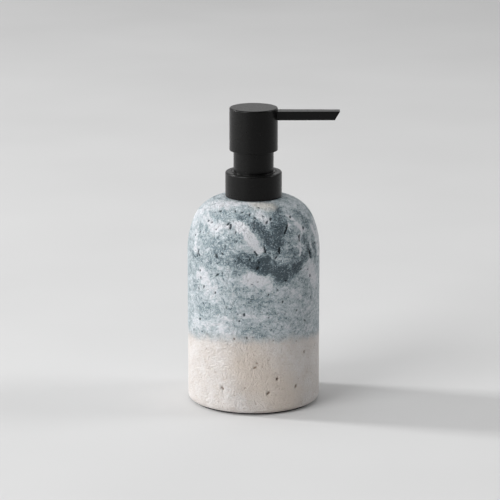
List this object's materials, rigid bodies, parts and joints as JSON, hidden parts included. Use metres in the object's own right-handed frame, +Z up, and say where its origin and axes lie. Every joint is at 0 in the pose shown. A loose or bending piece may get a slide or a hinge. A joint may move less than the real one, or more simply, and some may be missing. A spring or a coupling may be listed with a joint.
{
  "type": "soap pump dispenser",
  "caption": "Round cast stone soap bottle with a domed shoulder and a black screw-on lotion pump with a straight flat spout.",
  "frame": {"origin": "centre of the base pad's underside, on the surface that the bottle stands on", "axes": "+Z up along the bottle's axis; +X the way the spout points; +Y to the left of the spout seen from above"},
  "size_m": [0.086, 0.075, 0.1696],
  "materials": {
    "cast_stone": "sealed matt cast stone, blue-grey marbled above, sand-coloured below, with small pits",
    "black_metal": "satin black coating on drawn stainless steel",
    "black_plastic": "moulded polypropylene, black",
    "natural_plastic": "moulded polypropylene, natural white",
    "clear_plastic": "polyethylene, milky and waxy",
    "seal_rubber": "silicone rubber, brick red",
    "foam": "closed-cell foam",
    "spring_steel": "drawn stainless spring wire",
    "ball_steel": "polished stainless ball"
  },
  "bodies": {
    "bottle": {"bottle_body": "cast_stone", "base_pad": "foam", "neck_insert": "natural_plastic", "insert_seals": "seal_rubber"},
    "pump_unit": {"pump_housing": "natural_plastic", "neck_gasket": "foam", "stem_guide": "black_plastic", "neck_sleeve": "black_metal", "dip_tube": "clear_plastic", "return_spring": "spring_steel"},
    "collar": {"collar_shell": "black_metal", "collar_liner": "black_plastic"},
    "plunger": {"valve_pin": "natural_plastic"},
    "head": {"head_shell": "black_metal", "head_core": "black_plastic", "spout": "black_metal", "nozzle_tube": "black_plastic", "stem": "natural_plastic"},
    "piston": {"piston": "clear_plastic"},
    "ball": {"inlet_ball": "ball_steel"}
  },
  "joints": [
    {"name": "pump_rise", "type": "slide", "parent": "bottle", "child": "pump_unit", "axis": [0, 0, 1], "range_m": [0, 0.00423]},
    {"name": "collar_turn", "type": "hinge", "parent": "pump_unit", "child": "collar", "pos_m": [0, 0, 0.126], "axis": [0, 0, 1], "range_deg": [0, 360]},
    {"name": "head_press", "type": "slide", "parent": "pump_unit", "child": "plunger", "axis": [0, 0, -1], "range_m": [0, 0.0115], "stiffness_N_per_m": 600, "springref_m": -0.006, "deforming": ["return_spring"]},
    {"name": "head_swivel", "type": "hinge", "parent": "plunger", "child": "head", "pos_m": [0, 0, 0.16], "axis": [0, 0, 1], "continuous": true},
    {"name": "piston_slip", "type": "slide", "parent": "plunger", "child": "piston", "axis": [0, 0, 1], "range_m": [0, 0.0012]},
    {"name": "ball_lift", "type": "slide", "parent": "pump_unit", "child": "ball", "axis": [0, 0, 1], "range_m": [0, 0.0015]}
  ],
  "couplings": [
    {"joint": "pump_rise", "follows": "collar_turn", "m_per_rad": 0.00067322}
  ]
}
